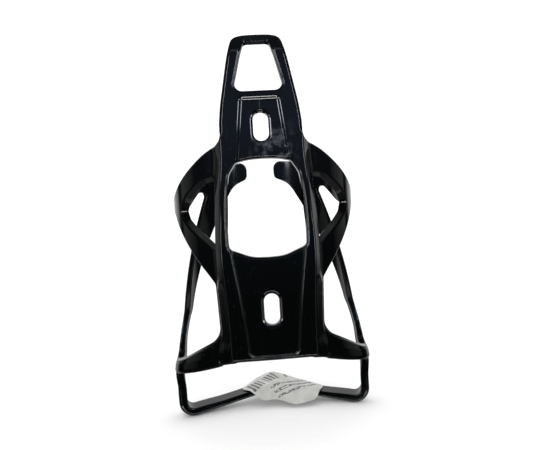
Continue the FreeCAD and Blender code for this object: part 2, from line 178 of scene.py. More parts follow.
def crease_bow(across, up):
    """How far the crease and flank stand out from straight: out at the waist, in above and below.

    Below the waist the flank alone bulges too, so that its outer edge stands steeper."""
    share = smooth((across - 8.0) / 7.0) * smooth((28.0 - across) / 8.0)
    waist = 1.15 * np.exp(-((up + 11.0) / 15.0) ** 2)
    above = 1.0 * smooth((up - 8.0) / 16.0) * smooth((34.0 - up) / 7.0)
    below = 0.2 * smooth((-30.0 - up) / 14.0)
    on_flank = smooth((across - CREASE_X) / 4.0) * (1.0 - smooth((across - 19.5) / 4.8))
    bulge = 0.9 * on_flank * smooth((up + 50.0) / 5.0) * smooth((-20.0 - up) / 5.0)
    return share * (waist - above - below) + bulge


def wrapped(across, up):
    """The outer face: flat places to places round the bottle's axis."""
    x, y, heading = section(across)
    x = x + crease_bow(across, up)
    bend = np.maximum(up - HOOK_START, 0.0) / HOOK_RADIUS
    y = y + HOOK_RADIUS * (1.0 - np.cos(bend))
    z = np.minimum(up, HOOK_START) + HOOK_RADIUS * np.sin(bend)
    drop = np.maximum(FLARE_START - up, 0.0)
    flare = FLARE_SLOPE * drop * smooth(drop / 4.0)
    flare = flare * smooth((across - FLANK_START) / (RING_START - FLANK_START))
    return np.stack([x + flare * np.sin(heading), y - flare * np.cos(heading), z], axis=1)


def stirrup(across, up):
    """The floor strip's outer face: down, round the corner and along the bar to the apex."""
    run = np.maximum(STRIP_START - up, 0.0)
    corner = np.clip(run - STRAIGHT_RUN, 0.0, CORNER_RUN) / CORNER_RADIUS
    bar = np.clip(run - STRAIGHT_RUN - CORNER_RUN, 0.0, BAR_RUN)
    reach = STIRRUP_REACH - CORNER_RADIUS * (1.0 - np.cos(corner)) - bar * math.cos(CORNER_FALL)
    z = (STRIP_START - np.minimum(run, STRAIGHT_RUN) - CORNER_RADIUS * np.sin(corner)
         + bar * math.sin(CORNER_FALL))
    side = (across - STRIP_MIDDLE) * (1.0 + STIRRUP_WIDEN / 5.9 * smooth(run / 14.0))
    reach = reach - side * math.tan(STIRRUP_TURN) * bar / BAR_RUN
    x = reach * math.cos(STIRRUP_TURN) + side * math.sin(STIRRUP_TURN)
    y = STIRRUP_APEX_Y - reach * math.sin(STIRRUP_TURN) + side * math.cos(STIRRUP_TURN)
    return np.stack([x, y, z], axis=1)


def outer_face(across, up):
    """The whole outer face, passing smoothly from the ring to the floor strip."""
    share = smooth((STRIP_START + 4.0 - up) / 12.0)[:, None]
    return wrapped(across, up) * (1.0 - share) + stirrup(across, up) * share


def face_frame(across, up):
    """Outer face points with the outward normal and the two directions along the face."""
    step = 0.02
    right = outer_face(across + step, up) - outer_face(across - step, up)
    rise = outer_face(across, up + step) - outer_face(across, up - step)
    right /= np.linalg.norm(right, axis=1)[:, None]
    rise /= np.linalg.norm(rise, axis=1)[:, None]
    normal = np.cross(right, rise)
    normal /= np.linalg.norm(normal, axis=1)[:, None]
    return outer_face(across, up), normal, right, np.cross(normal, right)


# ---------------- outlines on the flat sheet
def share_of(neighbour):
    """How much of a side a corner's arc may take: all but a little if the next corner is sharp."""
    return 0.49 if neighbour[2] > 0 else 0.99


def rounded(corners, closed=True, spacing=0.9):
    """A polyline from (across, up, radius) corners, with a tangent arc at each corner."""
    count = len(corners)
    path = []
    for i, (across, up, radius) in enumerate(corners):
        here = np.array([across, up])
        if radius <= 0 or (not closed and i in (0, count - 1)):
            path.append(here)
            continue
        before = np.array(corners[i - 1][:2]) - here
        after = np.array(corners[(i + 1) % count][:2]) - here
        room = min(np.linalg.norm(before) * share_of(corners[i - 1]),
                   np.linalg.norm(after) * share_of(corners[(i + 1) % count]))
        before /= np.linalg.norm(before)
        after /= np.linalg.norm(after)
        half = math.acos(np.clip(before @ after, -1, 1)) / 2
        tangent = min(radius / math.tan(half), room)
        radius = tangent * math.tan(half)
        middle = (before + after) / np.linalg.norm(before + after)
        centre = here + middle * radius / math.sin(half)
        first = math.atan2(*(here + before * tangent - centre)[::-1])
        sweep = math.atan2(*(here + after * tangent - centre)[::-1]) - first
        sweep = (sweep + math.pi) % (2 * math.pi) - math.pi
        steps = max(2, math.ceil(abs(sweep) / math.radians(7.0)), math.ceil(abs(sweep) * radius / spacing))
        for k in range(steps + 1):
            angle = first + sweep * k / steps
            path.append(centre + radius * np.array([math.cos(angle), math.sin(angle)]))
    dense = []
    ends = path + [path[0]] if closed else path
    for a, b in zip(ends, ends[1:]):
        pieces = max(1, math.ceil(np.linalg.norm(b - a) / spacing))
        dense += [a + (b - a) * k / pieces for k in range(pieces)]
    if not closed:
        dense.append(ends[-1])
    return np.array(dense)


UPRIGHT_FRONT = at_turn(85.9)
UPRIGHT_REAR = at_turn(94.5)
BAND_TOP = -58.9
BAND_FOOT = -65.2
PLATE_FOOT = -50.1
STRIP_END = STRIP_START - STRIP_LENGTH


def rim_outline():
    """From the crown of the top loop round the arm and leg to the middle of the floor bar, and back
    along the floor bar, base band and plate foot to the centre line."""
    return rounded([
        (0.0, hook_height(65.8), 0),
        (5.3, hook_height(65.6), 30),
        (8.7, hook_height(64.3), 4.0),
        (11.2, 53.0, 60),
        (13.8, 39.5, 60),
        (15.0, 29.2, 5.0),
        (at_turn(153), 27.6, 12),
        (at_turn(106), 11.2, 22),
        (at_turn(84), 12.6, 40),
        (at_turn(36), 29.0, 30),
        (at_turn(11.2), 31.0, 4.2),
        (at_turn(11.6), 21.8, 3.0),
        (at_turn(24), 18.3, 14),
        (UPRIGHT_FRONT, -46.0, 30),
        (UPRIGHT_FRONT, STRIP_END, 0),
        (UPRIGHT_REAR, STRIP_END, 0),
        (UPRIGHT_REAR, BAND_FOOT, 1.5),
        (22.5, -52.3, 9),
        (14.5, -50.0, 9),
        (0.0, PLATE_FOOT, 0)], closed=False)


def side_gap_outline():
    """The opening between the wing, arm, leg, base band and rail."""
    return rounded([
        (24.0, -23.1, 1.8),
        (at_turn(108.0), 3.4, 10),
        (at_turn(76), 5.9, 18),
        (at_turn(59), 14.6, 4),
        (at_turn(49.5), 14.9, 1.8),
        (UPRIGHT_REAR, -48.3, 25),
        (UPRIGHT_REAR, BAND_TOP, 3),
        (at_turn(122), -52.4, 60),
        (23.6, -42.6, 6.5)])


WINDOW_POINT = (at_turn(121.8), 4.6)


def window_outline():
    """The window between the wing's two branches, which comes to a point where they meet."""
    return rounded([
        (20.9, 16.4, 1.3),
        (at_turn(143), 15.2, 8),
        (at_turn(127), 9.4, 14),
        (*WINDOW_POINT, 0.8),
        (at_turn(125.5), 0.6, 5),
        (20.9, -11.8, 1.6)])


def central_outline():
    """Half of the opening between the rails."""
    return rounded([
        (0.0, 20.9, 0), (5.0, 20.8, 30), (9.9, 19.7, 2.5), (12.6, 15.8, 5), (13.3, 4.0, 80),
        (12.7, -10.2, 2.2), (6.0, -13.4, 14), (0.0, -13.6, 0)], closed=False)


def eye_outline():
    """Half of the eye in the top loop."""
    return rounded([
        (0.0, 62.4, 0), (4.3, 62.4, 1.9), (9.0, 44.3, 2.6), (0.0, 44.3, 0)], closed=False)


def slot_outline(middle):
    """Half of a mounting slot."""
    ends = UPPER_SLOT_HALF_LENGTH if middle > 0 else SLOT_HALF_LENGTH
    return rounded([
        (0.0, middle + ends, 0), (SLOT_HALF_WIDTH, middle + ends, SLOT_HALF_WIDTH * 0.98),
        (SLOT_HALF_WIDTH, middle - ends, SLOT_HALF_WIDTH * 0.98), (0.0, middle - ends, 0)],
        closed=False, spacing=0.4)


def recess_outline():
    """Half of the step round the upper pad, which runs out into the central opening."""
    return rounded([(0.0, 42.7, 0), (7.4, 42.7, 1.9), (10.2, 18.6, 0)], closed=False, spacing=0.7)


def groove_outline():
    """Half of the groove round the lower pad."""
    return rounded([(12.3, -9.5, 0), (8.5, -48.2, 2.3), (0.0, -48.4, 0)], closed=False, spacing=0.7)


def ridge_outline():
    """The edge where the crease turns outward along the middle of the base band."""
    return rounded([(CREASE_X, -36.0, 0), (CREASE_X, -45.4, 3.0), (UPRIGHT_REAR, -61.6, 0)],
                   closed=False, spacing=0.7)


def crease_outline():
    """The middle of the crease, where the plate turns towards the bottle."""
    middle = FLANK_START + SECTION[1][0] / 2
    return rounded([(middle, 36.0, 0), (middle, -49.0, 0)], closed=False, spacing=0.7)


BOUNDARIES = [rim_outline(), side_gap_outline(), window_outline(), central_outline(), eye_outline(),
              slot_outline(SLOT_Z), slot_outline(-SLOT_Z)]
CLOSED = [False, True, True, False, False, False, False]
RIM, SIDE_GAP, WINDOW, CENTRAL, EYE, SLOT_ABOVE, SLOT_BELOW = range(7)


# ---------------- distances on the flat sheet
def edge_segments():
    """All segments of the real edges and which outline each is from, without the cut at mid-bar."""
    starts, ends, kinds = [], [], []
    for kind, (line, loop) in enumerate(zip(BOUNDARIES, CLOSED)):
        joined = np.vstack([line, line[:1]]) if loop else line
        starts.append(joined[:-1])
        ends.append(joined[1:])
        kinds.append(np.full(len(joined) - 1, kind))
    starts, ends, kinds = np.vstack(starts), np.vstack(ends), np.concatenate(kinds)
    cut = (np.abs(starts[:, 1] - STRIP_END) < TINY) & (np.abs(ends[:, 1] - STRIP_END) < TINY)
    return starts[~cut], ends[~cut], kinds[~cut]


def nearest(points, starts, ends):
    """Distance from each point to the nearest segment, the direction away from it, and its index."""
    distance = np.full(len(points), 1e9)
    away = np.zeros_like(points)
    index = np.zeros(len(points), int)
    run = ends - starts
    length2 = np.maximum((run ** 2).sum(1), 1e-12)
    for first in range(0, len(points), 2000):
        block = points[first:first + 2000]
        offset = block[:, None, :] - starts[None]
        share = np.clip((offset * run[None]).sum(2) / length2[None], 0, 1)
        gap = offset - share[..., None] * run[None]
        size = np.sqrt((gap ** 2).sum(2))
        best = size.argmin(1)
        rows = np.arange(len(block))
        distance[first:first + 2000] = size[rows, best]
        away[first:first + 2000] = gap[rows, best] / np.maximum(size[rows, best], 1e-9)[:, None]
        index[first:first + 2000] = best
    return distance, away, index


def inside(points, polygon):
    """Which points lie in a polygon, by crossings."""
    x, y = points[:, 0][:, None], points[:, 1][:, None]
    a, b = polygon, np.roll(polygon, -1, axis=0)
    straddle = (a[:, 1][None] > y) != (b[:, 1][None] > y)
    slope = (b[:, 0] - a[:, 0]) / np.where(b[:, 1] == a[:, 1], 1e-12, b[:, 1] - a[:, 1])
    return ((straddle & (x < a[:, 0][None] + (y - a[:, 1][None]) * slope[None])).sum(1) % 2) == 1


def in_material(points):
    """Which points of the flat sheet are plastic."""
    points = np.stack([np.maximum(points[:, 0], TINY), points[:, 1]], axis=1)
    kept = inside(points, BOUNDARIES[0])
    for hole in BOUNDARIES[1:]:
        kept &= ~inside(points, hole)
    return kept


# ---------------- members, as regions of the sheet
FAR = 400.0                 # well past every edge of the sheet
SHEET_TOP = 75.0
PAD_TOP = 43.2              # where the upper pad and the rails end and the top loop starts


def member_regions():
    """Each member's name and the polygon that claims its part of the sheet, first claim first."""
    fork_front, fork_rear = (at_turn(35.5), 7.0), (at_turn(50.0), 13.6)
    waist_top, waist_low = (at_turn(112.5), 16.0), (at_turn(109.5), 1.0)
    apex = (at_turn(119.7), 4.4)
    return [
        ("floor_bar", [(0, -FAR), (FAR, -FAR), (FAR, STRIP_END + 20.5), (0, STRIP_END + 20.5)]),
        ("floor_corner", [(0, -FAR), (FAR, -FAR), (FAR, STRIP_START), (0, STRIP_START)]),
        ("top_loop", [(-1, PAD_TOP), (20, PAD_TOP), (20, 90), (-1, 90)]),
        ("upper_mount_pad", [(-1, 15), (10.85, 15), (6.75, PAD_TOP), (-1, PAD_TOP)]),
        ("lower_mount_pad", [(-1, -60), (7.75, -60), (12.85, -10.5), (12.5, -5), (-1, -5)]),
        ("rail", [(-1, -60), (RING_START, -60), (RING_START, PAD_TOP), (-1, PAD_TOP)]),
        ("upright", [(UPRIGHT_REAR, STRIP_START), (FAR, STRIP_START), (FAR, -46.0), (UPRIGHT_REAR, -46.0)]),
        ("base_band", [(0, -80), (UPRIGHT_REAR, -80), (UPRIGHT_REAR, -36.0), (0, -30.0)]),
        ("leg", [(at_turn(100), -46.0), (FAR, -46.0), (FAR, 7.0), fork_front, fork_rear,
                 (at_turn(60), 3.0)]),
        ("front_arm", [(at_turn(90), -10), (FAR, -10), (FAR, 60), (at_turn(90), 60)]),
        ("side_bridge", [apex, waist_low, (at_turn(105), -8), (at_turn(90), -10), (at_turn(90), 60),
                         (waist_top[0] - 6, 60), (waist_top[0], waist_top[1] + 1)]),
        ("upper_wing", [(RING_START, 4.4), (at_turn(105), 4.4), (at_turn(105), 60), (RING_START, 60)]),
        ("lower_wing", [(0, -FAR), (FAR, -FAR), (FAR, FAR), (0, FAR)])]


def flat_mesh():
    """Triangles over the plastic, with the edges, features and member boundaries as mesh lines."""
    starts, ends = edge_segments()[:2]
    points, lines = [], []

    def add(path, closed):
        """Keep a path's points, and the mesh lines between them."""
        first = len(points)
        points.extend(map(tuple, path))
        count = len(path)
        lines.extend((first + i, first + (i + 1) % count) for i in range(count if closed else count - 1))

    for path, closed in zip(BOUNDARIES, CLOSED):
        add(path, closed)
    for depth in EDGE_LEVELS:
        for path, closed in zip(BOUNDARIES, CLOSED):
            add_offset(path, closed, depth, add, starts, ends)
    for path, offsets in feature_lines():
        for offset in offsets:
            add(shifted(path, False, offset), False)
    for region in dict(member_regions()).values():
        add(rounded([(*corner, 0) for corner in clipped(region)]), True)
    add(np.array([(0.0, STRIP_END), (0.0, SHEET_TOP)]), False)
    grid = []
    for row, up in enumerate(np.arange(STRIP_END + 0.7, 70.0, GRID * 0.87)):
        offset = GRID / 2 if row % 2 else 0.0
        grid += [(across + offset, up) for across in np.arange(0.8, at_turn(8), GRID)]
    grid = np.array(grid)
    grid = grid[in_material(grid)]
    grid = grid[nearest(grid, starts, ends)[0] > EDGE_BAND + GRID * 0.4]
    for path, offsets in feature_lines():
        grid = grid[nearest(grid, *chain(path))[0] > max(abs(o) for o in offsets) + 0.4]
    points.extend(map(tuple, grid))
    flat, faces = triangulated(points, lines)
    middles = flat[faces].mean(axis=1)
    keep = in_material(middles) & (middles[:, 0] > 0)
    return flat, faces[keep], middles[keep]


def triangulated(points, lines):
    """Triangles over flat points that keep to the given lines, all turning leftward."""
    out = delaunay_2d_cdt([Vector(p) for p in points], lines, [], 0, TINY)
    flat = np.array([tuple(v) for v in out[0]])
    faces = np.array([f for f in out[2] if len(f) == 3])
    ab = flat[faces[:, 1]] - flat[faces[:, 0]]
    ac = flat[faces[:, 2]] - flat[faces[:, 0]]
    backward = ab[:, 0] * ac[:, 1] - ab[:, 1] * ac[:, 0] < 0
    faces[backward] = faces[backward][:, ::-1]
    return flat, faces


def clipped(region):
    """A member's region, kept to the extent of the sheet."""
    return np.clip(np.array(region, float), (0.0, STRIP_END), (at_turn(5), SHEET_TOP))


def shifted(path, closed, offset):
    """A polyline moved sideways, to its left, by an offset."""
    if closed:
        along = np.roll(path, -1, axis=0) - np.roll(path, 1, axis=0)
    else:
        along = np.gradient(path, axis=0)
    along /= np.linalg.norm(along, axis=1)[:, None]
    return path + offset * np.stack([-along[:, 1], along[:, 0]], axis=1)


def add_offset(path, closed, depth, add, starts, ends):
    """Add the mesh line that lies a depth inside an edge, where it is a true offset."""
    for sign in (1, -1):
        moved = shifted(path, closed, sign * depth)
        moved[:, 0] = np.maximum(moved[:, 0], 0.0)
        gap = nearest(moved, starts, ends)[0]
        good = (gap > depth * 0.97) & in_material(moved)
        run = []
        for point, ok in zip(moved, good):
            if ok:
                run.append(point)
                continue
            if len(run) > 1:
                add(np.array(run), False)
            run = []
        if len(run) > 1:
            add(np.array(run), closed and good.all())


def feature_lines():
    """Mesh lines that the recess, groove, ridge and crease need, as a path and its offsets."""
    return [(crease_outline(), [k * SECTION[1][0] / 8 for k in range(-4, 5)]),
            (recess_outline(), [0.3 - 0.22 * k for k in range(13)]),
            (groove_outline(), [k * GROOVE_HALF_WIDTH / 3 for k in range(-3, 4)]),
            (ridge_outline(), [-0.5, -0.15, 0.0, 0.15, 0.5])]


def chain(path):
    """An open path's segments, as their starts and ends."""
    return path[:-1], path[1:]


def side_of(points, path):
    """Signed distance from an open path, positive on its right."""
    starts, ends = chain(path)
    gap, _, best = nearest(points, starts, ends)
    run, offset = ends[best] - starts[best], points - starts[best]
    return np.where(run[:, 0] * offset[:, 1] - run[:, 1] * offset[:, 0] > 0, -gap, gap)


BAND_LEAN_BELOW = 0.03       # how fast the base band falls away on each side of its ridge
BAND_LEAN_ABOVE = 0.14
BAND_LEAN_REACH = 3.5


def relief(points):
    """How far the outer face is set in at each flat place: the recess, the groove and the band."""
    across, up = points[:, 0], points[:, 1]
    inward = side_of(points, recess_outline())
    recess = RECESS * smooth((inward + 0.1) / RECESS_RUN)
    recess = np.where((up > 15) & (up < 44.5), recess, 0.0)
    gap = nearest(points, *chain(groove_outline()))[0]
    groove = GROOVE_DEPTH * smooth(1.0 - gap / GROOVE_HALF_WIDTH)
    below = side_of(points, ridge_outline())
    band = (BAND_LEAN_BELOW * np.clip(below, 0.0, BAND_LEAN_REACH)
            + BAND_LEAN_ABOVE * np.clip(-below, 0.0, BAND_LEAN_REACH))
    band = band * smooth((across - 13.0) / 6.0) * smooth((-38.0 - up) / 6.0) * smooth(up - STRIP_START)
    return recess + groove + band


# ---------------- the edges' profiles
BEVEL_SOFTENING = 0.3
INNER_EDGE = 0.5            # radius of the edges on the bottle's side


def round_over(gap, radius):
    """Drop of a rounded edge at a distance in from it."""
    lean = np.clip((radius - gap) / radius, 0.0, 1.0)
    return radius * (1.0 - np.sqrt(1.0 - lean ** 2))


def bevel(gap, width, depth):
    """Drop of a flat bevel with softened ends."""
    t = (width - gap) / BEVEL_SOFTENING
    soft = np.where(t > 1, t, np.where(t < -1, 0.0, (t + 1) ** 2 / 4))
    return depth / width * BEVEL_SOFTENING * soft


def lip(gap, depth, start, width, radius):
    """Drop of a soft lip and its rounded edge."""
    return depth * (1.0 - smooth((gap - start) / width)) + round_over(gap, radius)


def outer_drop(gap, kind):
    """Drop of the outer face near each sort of edge."""
    drop = np.where((kind == RIM) | (kind == SIDE_GAP), bevel(gap, 1.05, 0.85) + round_over(gap, 0.5), 0.0)
    drop = np.where(kind == WINDOW, round_over(gap, 0.75), drop)
    drop = np.where((kind == CENTRAL) | (kind == EYE), lip(gap, 0.3, 0.25, 0.75, 0.3), drop)
    return np.where((kind == SLOT_ABOVE) | (kind == SLOT_BELOW), lip(gap, 0.34, 0.1, 1.1, 0.3), drop)


# ---------------- the solid shell
def on_upright(flat):
    """1 on the uprights and floor corners, fading out above, behind and along the floor bar."""
    along_bar = STRIP_START - flat[:, 1] - STRAIGHT_RUN - CORNER_RUN
    from_rear = flat[:, 0] - at_turn(100)
    return smooth((-50.0 - flat[:, 1]) / 10.0) * smooth(from_rear / 3.5) * (1.0 - smooth(along_bar / 14.0))


def shell_points(flat):
    """Outer and inner places and normals of every flat point, with the edges shaped."""
    starts, ends, kinds = edge_segments()
    gap, away, best = nearest(flat, starts, ends)
    kind = kinds[best]
    on_edge = gap < TINY
    away[on_edge] = -edge_directions(flat[on_edge], best[on_edge], starts, ends)
    flank = smooth((flat[:, 0] - FLANK_START) / (RING_START - FLANK_START))
    wall = PLATE_WALL + (WING_WALL - PLATE_WALL) * flank
    wall = wall + (CROWN_WALL - PLATE_WALL) * smooth((flat[:, 1] - 50.0) / 14.0)
    wall = wall + UPRIGHT_EXTRA * on_upright(flat)
    base, normal, right, rise = face_frame(flat[:, 0], flat[:, 1])
    outward = -(away[:, :1] * right + away[:, 1:] * rise)
    drop = outer_drop(gap, kind)
    step = 0.01
    slope = (outer_drop(gap + step, kind) - outer_drop(np.maximum(gap - step, 0), kind)) / (
        step + np.minimum(gap, step))
    sunk = relief(flat) * smooth(gap / 0.4)
    across_slope = (relief(flat + (step, 0)) - relief(flat - (step, 0))) / (2 * step)
    up_slope = (relief(flat + (0, step)) - relief(flat - (0, step))) / (2 * step)
    outer_normal = normal - outward * slope[:, None]
    outer_normal += across_slope[:, None] * right + up_slope[:, None] * rise
    outer_normal[on_edge] = outward[on_edge]
    outer = base - normal * (drop + sunk)[:, None]
    shelf = np.where(kind == WINDOW, WINDOW_SHELF * smooth(1.0 - gap / 3.0), 0.0)
    inner_flat = flat - away * shelf[:, None]
    inner_base, inner_out, right, rise = face_frame(inner_flat[:, 0], inner_flat[:, 1])
    outward = -(away[:, :1] * right + away[:, 1:] * rise)
    lean = np.clip((INNER_EDGE - gap) / INNER_EDGE, 0.0, 1.0)[:, None]
    inner = inner_base - inner_out * (wall - round_over(gap, INNER_EDGE))[:, None]
    inner_normal = -inner_out * np.sqrt(1.0 - lean ** 2) + outward * lean
    for normals in (outer_normal, inner_normal):
        normals /= np.linalg.norm(normals, axis=1)[:, None]
    at_mid_bar = flat[:, 1] < STRIP_END + TINY
    outer[at_mid_bar, 0] = 0.0
    inner[at_mid_bar, 0] = 0.0
    return outer, inner, outer_normal, inner_normal


def edge_directions(points, closest, starts, ends):
    """The outward direction, on the flat sheet, at points on an edge, given their closest segments."""
    run = (ends - starts) / np.linalg.norm(ends - starts, axis=1)[:, None]
    sideways = np.stack([run[:, 1], -run[:, 0]], axis=1)
    total = sideways[closest]
    for i, point in enumerate(points):
        apart = np.minimum(np.linalg.norm(starts - point, axis=1), np.linalg.norm(ends - point, axis=1))
        near = apart < 1e-3
        if near.any():
            total[i] = sideways[near].sum(0)
        if point[0] < 1e-6:
            total[i, 0] = 0.0
    total /= np.maximum(np.linalg.norm(total, axis=1), 1e-9)[:, None]
    probe = in_material(points + (0.002, 0) + total * 0.05)
    total[probe] *= -1
    return total


def closed_skins(triangles, count):
    """Polygons of a front skin, of its back, count points further on, and of the walls between them."""
    edges = dict.fromkeys(pair for a, b, c in triangles for pair in ((a, b), (b, c), (c, a)))
    polygons = list(triangles)
    polygons += [(c + count, b + count, a + count) for a, b, c in triangles]
    polygons += [(b, a, a + count, b + count) for a, b in edges if (b, a) not in edges]
    return polygons


def solid_mesh(faces, outer, inner, outer_normal, inner_normal, mirror):
    """A closed mesh of one member: outer and inner skins, joined by walls round their edge."""
    used = np.unique(faces)
    local = {v: i for i, v in enumerate(used)}
    polygons = closed_skins([tuple(local[v] for v in face) for face in faces], len(used))
    co = np.vstack([outer[used], inner[used]])
    normals = np.vstack([outer_normal[used], inner_normal[used]])
    if mirror:
        co = co * (-1, 1, 1)
        normals = normals * (-1, 1, 1)
        polygons = [p[::-1] for p in polygons]
    return co, normals, polygons


def new_piece(name, points, polygons, smooth_faces, material):
    """A mesh object on the root body.  Its points are in millimetres."""
    mesh = bpy.data.meshes.new(name)
    mesh.from_pydata([tuple(point) for point in np.array(points) * MM], [], polygons)
    mesh.update()
    mesh.polygons.foreach_set("use_smooth", smooth_faces)
    mesh.materials.append(material)
    piece = bpy.data.objects.new(name, mesh)
    bpy.context.scene.collection.objects.link(piece)
    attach(piece, "root")
    return piece


def member_piece(node, halves, material):
    """A member of the moulding from one or two halves, welded on the centre line, with its normals."""
    co = np.vstack([half[0] for half in halves])
    normals = np.vstack([half[1] for half in halves])
    polygons, base = [], 0
    for half in halves:
        polygons += [tuple(v + base for v in polygon) for polygon in half[2]]
        base += len(half[0])
    if len(halves) == 2:
        co, normals, polygons = weld_centre(co, normals, polygons)
    piece = new_piece(node + "_moulding", co, polygons, [True] * len(polygons), material)
    piece.data.normals_split_custom_set_from_vertices([tuple(n) for n in normals])
    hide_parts(node)


def weld_centre(co, normals, polygons):
    """Join two mirrored halves where they meet, and drop the walls between them."""
    keys, remap, kept = {}, [], []
    for i, (x, y, z) in enumerate(co):
        key = (round(y * 2000), round(z * 2000)) if abs(x) < CENTRED else ("off centre", i)
        if key not in keys:
            keys[key] = len(kept)
            kept.append(i)
        remap.append(keys[key])
    on_centre = np.abs(co[kept][:, 0]) < CENTRED
    new_co, new_normals = co[kept].copy(), normals[kept].copy()
    new_co[on_centre, 0] = 0.0
    new_normals[on_centre, 0] = 0.0
    new_normals /= np.linalg.norm(new_normals, axis=1)[:, None]
    out = []
    for polygon in polygons:
        mapped = [remap[v] for v in polygon]
        if all(on_centre[v] for v in mapped) or len(set(mapped)) < 3:
            continue
        out.append(tuple(mapped))
    return new_co, new_normals, out


CENTRE_MEMBERS = ("top_loop", "upper_mount_pad", "lower_mount_pad", "floor_bar")


def build_cage(material):
    """All members of the moulding, each standing for its CAD node."""
    flat, faces, middles = flat_mesh()
    skins = shell_points(flat)
    free = np.ones(len(faces), bool)
    for name, region in member_regions():
        mine = free & inside(middles, np.array(region, float))
        free &= ~mine
        right = solid_mesh(faces[mine], *skins, mirror=False)
        left = solid_mesh(faces[mine], *skins, mirror=True)
        if name in CENTRE_MEMBERS:
            parts = {name: [right, left]}
        else:
            parts = {"right_" + name: [right], "left_" + name: [left]}
        for node, halves in parts.items():
            member_piece(node, halves, material)


# ---------------- label and marks of painted highlight
LABEL_LIFT = 0.12           # the paper lies this far off the plastic
LABEL_BEND = 1.6            # radius of its fold over the bar's rear top edge
LABEL_BEHIND = 3.7          # from the bar's middle line back to that fold
PAPER = 0.25
DROOP = math.radians(40.0)  # how steeply the paper hangs behind the bar
PRINT_SCALE = 40.0          # millimetres to one unit of the print's layout
# The painted highlight mark at each window's point, a thin ragged tube of pale plastic.
HIGHLIGHT_MARK_RADIUS = 0.21
HIGHLIGHT_MARK_INSET = 0.35          # the mark stops this far short of the wall's faces
HIGHLIGHT_MARK_RINGS = 15
HIGHLIGHT_MARK_SPOKES = 12


def label_outline():
    """The paper laid flat: X, and the distance in front of the bar's rear top edge."""
    return rounded([
        (-15.6, 4.6, 1.6), (-7.6, 12.6, 9), (-2.6, 14.0, 1.8), (23.4, 5.6, 1.6), (18.6, -4.4, 5),
        (8.8, -8.7, 3.0), (-5.4, -6.6, 6)], spacing=0.6)


def label_place(flat):
    """Where a flat place on the paper lies: on the bar, and hanging behind it."""
    x, ahead = flat[:, 0], flat[:, 1]
    from_apex = np.sqrt(x * x + 1.5) - 0.9
    fold_y = STIRRUP_APEX_Y - LABEL_BEHIND - from_apex * math.tan(STIRRUP_TURN)
    top = APEX_Z + WING_WALL / math.cos(CORNER_FALL) + LABEL_LIFT - from_apex * math.tan(CORNER_FALL)
    half_fold = LABEL_BEND * DROOP / 2
    angle = np.clip(half_fold - ahead, 0.0, 2 * half_fold) / LABEL_BEND
    beyond = np.maximum(-ahead - half_fold, 0.0)
    y = fold_y + np.maximum(ahead, half_fold) - LABEL_BEND * np.sin(angle) - beyond * math.cos(DROOP)
    z = top - LABEL_BEND * (1.0 - np.cos(angle)) - beyond * math.sin(DROOP)
    ripple = 0.16 * np.sin(x * 0.32 + 0.4) * smooth(np.abs(ahead - 4.0) / 9.0)
    curl = 0.25 * smooth((ahead - 7.0) / 7.0)
    return np.stack([x, y, z + ripple + curl], axis=1)


def build_label(material):
    """A paper label over the floor bar, with its flat layout kept for the print."""
    path = label_outline()
    count = len(path)
    points = [tuple(p) for p in path]
    lines = [(i, (i + 1) % count) for i in range(count)]
    low, high = path.min(0), path.max(0)
    for row, ahead in enumerate(np.arange(low[1] + 0.5, high[1], 0.6)):
        for x in np.arange(low[0] + 0.5 + 0.3 * (row % 2), high[0], 0.7):
            if inside(np.array([[x, ahead]]), path)[0]:
                points.append((x, ahead))
    flat, faces = triangulated(points, lines)
    faces = faces[inside(flat[faces].mean(axis=1), path)]
    lower = label_place(flat)
    step = 0.05
    along = label_place(flat + (step, 0)) - lower
    ahead = label_place(flat + (0, step)) - lower
    normal = np.cross(along, ahead)
    normal /= np.linalg.norm(normal, axis=1)[:, None]
    upper = lower + normal * PAPER
    polygons = closed_skins([tuple(face) for face in faces.tolist()], len(flat))
    piece = new_piece("price_label_paper", np.vstack([upper, lower]), polygons,
                      [len(p) == 3 for p in polygons], material)
    layout = piece.data.uv_layers.new(name="sheet")
    laid = np.vstack([flat, flat]) / PRINT_SCALE
    for loop in piece.data.loops:
        layout.data[loop.index].uv = laid[loop.vertex_index]
    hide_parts("price_label")


